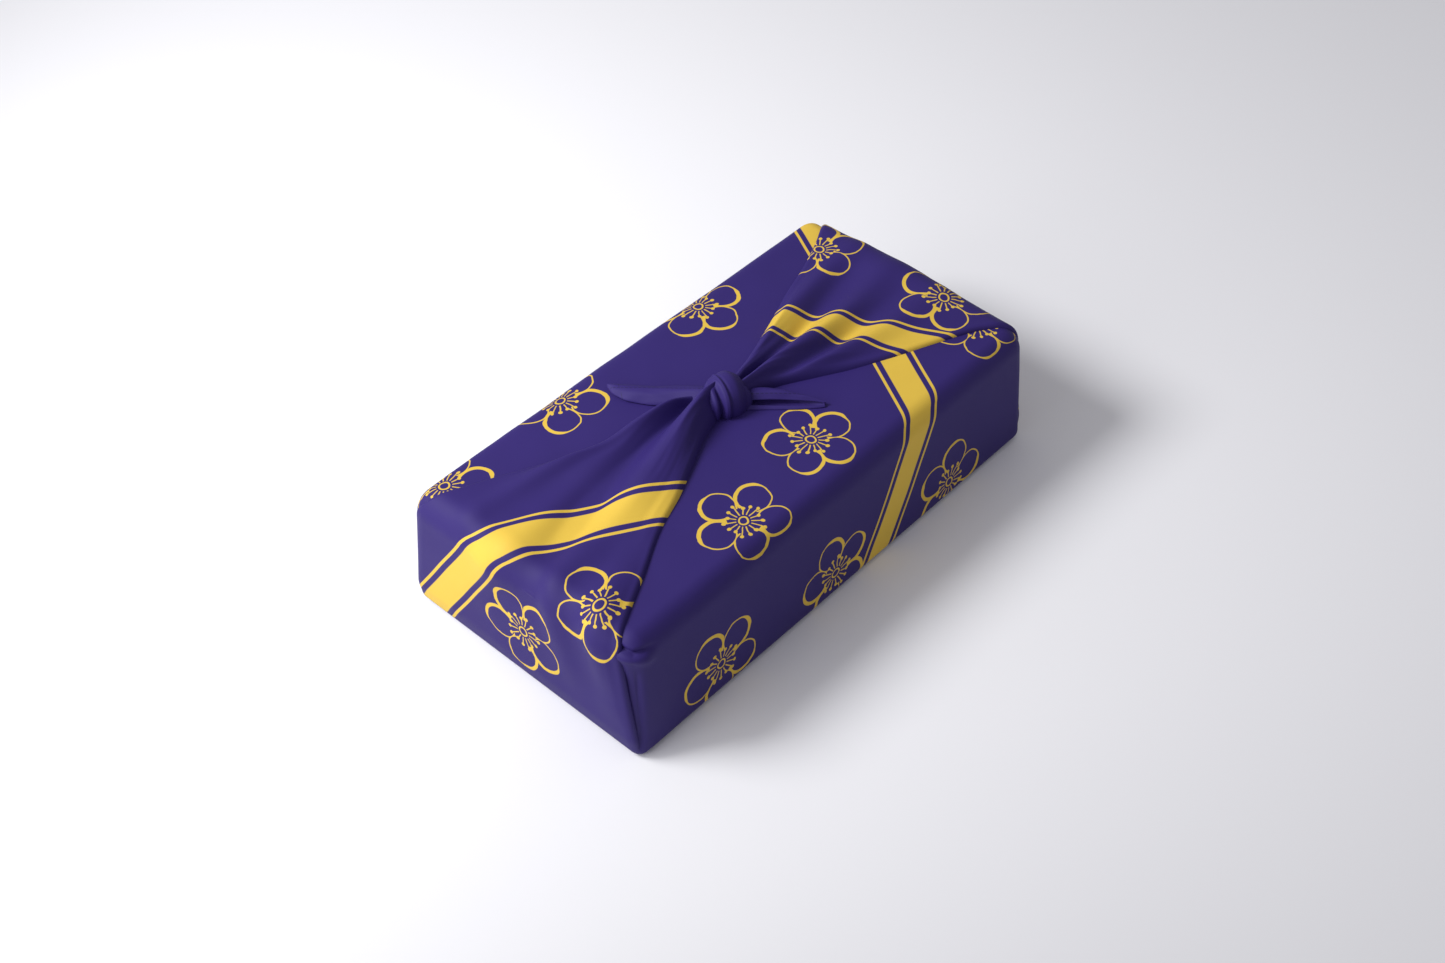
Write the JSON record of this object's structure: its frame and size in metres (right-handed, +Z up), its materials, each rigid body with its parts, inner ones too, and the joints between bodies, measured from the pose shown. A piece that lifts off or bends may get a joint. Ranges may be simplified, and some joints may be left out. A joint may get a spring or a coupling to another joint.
{
  "type": "furoshiki wrapped gift box",
  "caption": "Square wrapping cloth folded round a flat gift box, its ends gathered over the top into a square knot with short free ears.",
  "frame": {"origin": "on the floor under the middle of the parcel", "axes": "+X along the parcel to its back end, -Y to its long side that shows, +Z up"},
  "size_m": [0.2874, 0.1468, 0.0919],
  "materials": {
    "cloth": "smooth navy cotton sateen with a yellow print",
    "board": "plain grey card, matt, standing in for rigid board"
  },
  "bodies": {
    "root": {"wrap": "cloth", "box": "board"}
  },
  "joints": []
}
